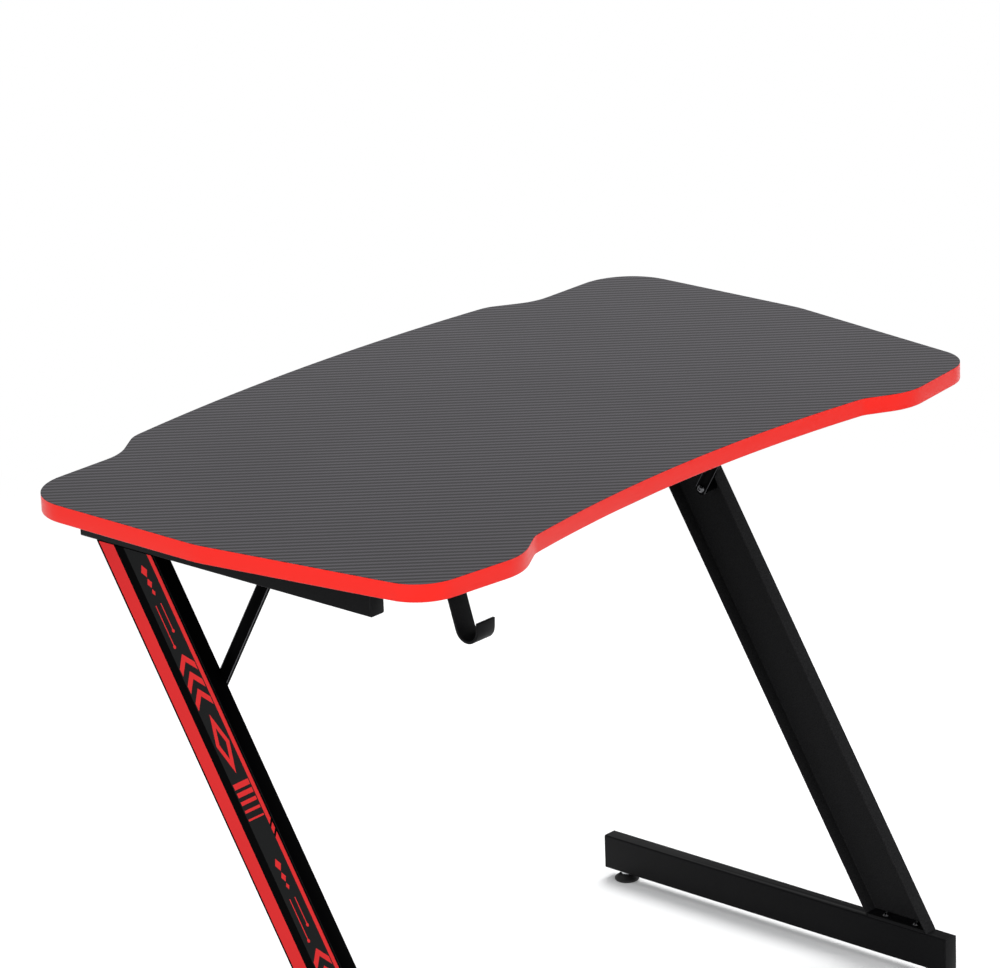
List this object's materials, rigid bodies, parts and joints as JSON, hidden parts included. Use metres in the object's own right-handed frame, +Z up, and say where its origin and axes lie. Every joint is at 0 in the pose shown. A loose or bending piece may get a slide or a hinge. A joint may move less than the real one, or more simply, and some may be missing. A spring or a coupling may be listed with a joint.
{
  "type": "gaming desk",
  "caption": "Straight gaming desk with a sculpted carbon-look top, red edge band, Z-shaped black steel side frames with braces, levelling feet and a headphone hook.",
  "frame": {"origin": "on the floor, below the middle of the top", "axes": "+X along the desk to the user's right, +Y to the back, +Z up"},
  "size_m": [1, 0.61, 0.75],
  "materials": {
    "particle_board": "raw particle board, hidden under its sheets",
    "carbon_laminate": "glossy dark sheet with a fine diagonal carbon-look ridge pattern",
    "black_backing": "matt black balancing sheet",
    "red_edge_band": "satin bright red plastic edge band",
    "black_steel": "fine satin black powder coat",
    "printed_film": "printed film, red and black stripes with a dark grey panel",
    "black_plastic": "fine-grained black moulded plastic",
    "foot_plastic": "hard black moulded plastic",
    "black_zinc_steel": "glossy black zinc plate",
    "zinc_steel": "bright zinc plate",
    "zinc_alloy": "die-cast zinc alloy"
  },
  "bodies": {
    "root": {"top_core": "particle_board", "top_laminate": "carbon_laminate", "top_backing": "black_backing", "edge_band": "red_edge_band", "board_inserts": "zinc_alloy", "left_top_rail": "black_steel", "right_top_rail": "black_steel", "left_base_rail": "black_steel", "right_base_rail": "black_steel", "left_leg": "black_steel", "right_leg": "black_steel", "left_leg_film": "printed_film", "right_leg_film": "printed_film", "left_leg_head_plate": "black_steel", "right_leg_head_plate": "black_steel", "left_leg_foot_plate": "black_steel", "right_leg_foot_plate": "black_steel", "left_brace": "black_steel", "right_brace": "black_steel", "left_brace_boss": "black_steel", "right_brace_boss": "black_steel", "front_crossbar": "black_steel", "back_crossbar": "black_steel", "crossbar_end_plates": "black_steel", "left_top_rail_front_cap": "black_plastic", "left_top_rail_back_cap": "black_plastic", "right_top_rail_front_cap": "black_plastic", "right_top_rail_back_cap": "black_plastic", "left_base_rail_front_cap": "black_plastic", "left_base_rail_back_cap": "black_plastic", "right_base_rail_front_cap": "black_plastic", "right_base_rail_back_cap": "black_plastic", "frame_nuts": "zinc_steel", "leg_bolts": "black_zinc_steel", "crossbar_bolts": "black_zinc_steel", "brace_bolts": "black_zinc_steel", "top_bolts": "zinc_steel", "foot_nuts": "zinc_steel", "headphone_hook": "black_steel", "hook_screws": "zinc_steel"},
    "front_left_foot": {"front_left_foot_pad": "foot_plastic", "front_left_foot_stem": "zinc_steel"},
    "front_right_foot": {"front_right_foot_pad": "foot_plastic", "front_right_foot_stem": "zinc_steel"},
    "back_left_foot": {"back_left_foot_pad": "foot_plastic", "back_left_foot_stem": "zinc_steel"},
    "back_right_foot": {"back_right_foot_pad": "foot_plastic", "back_right_foot_stem": "zinc_steel"}
  },
  "joints": [
    {"name": "front_left_foot_screw", "type": "slide", "parent": "root", "child": "front_left_foot", "axis": [0, 0, -1], "range_m": [0, 0.012]},
    {"name": "front_right_foot_screw", "type": "slide", "parent": "root", "child": "front_right_foot", "axis": [0, 0, -1], "range_m": [0, 0.012]},
    {"name": "back_left_foot_screw", "type": "slide", "parent": "root", "child": "back_left_foot", "axis": [0, 0, -1], "range_m": [0, 0.012]},
    {"name": "back_right_foot_screw", "type": "slide", "parent": "root", "child": "back_right_foot", "axis": [0, 0, -1], "range_m": [0, 0.012]}
  ]
}
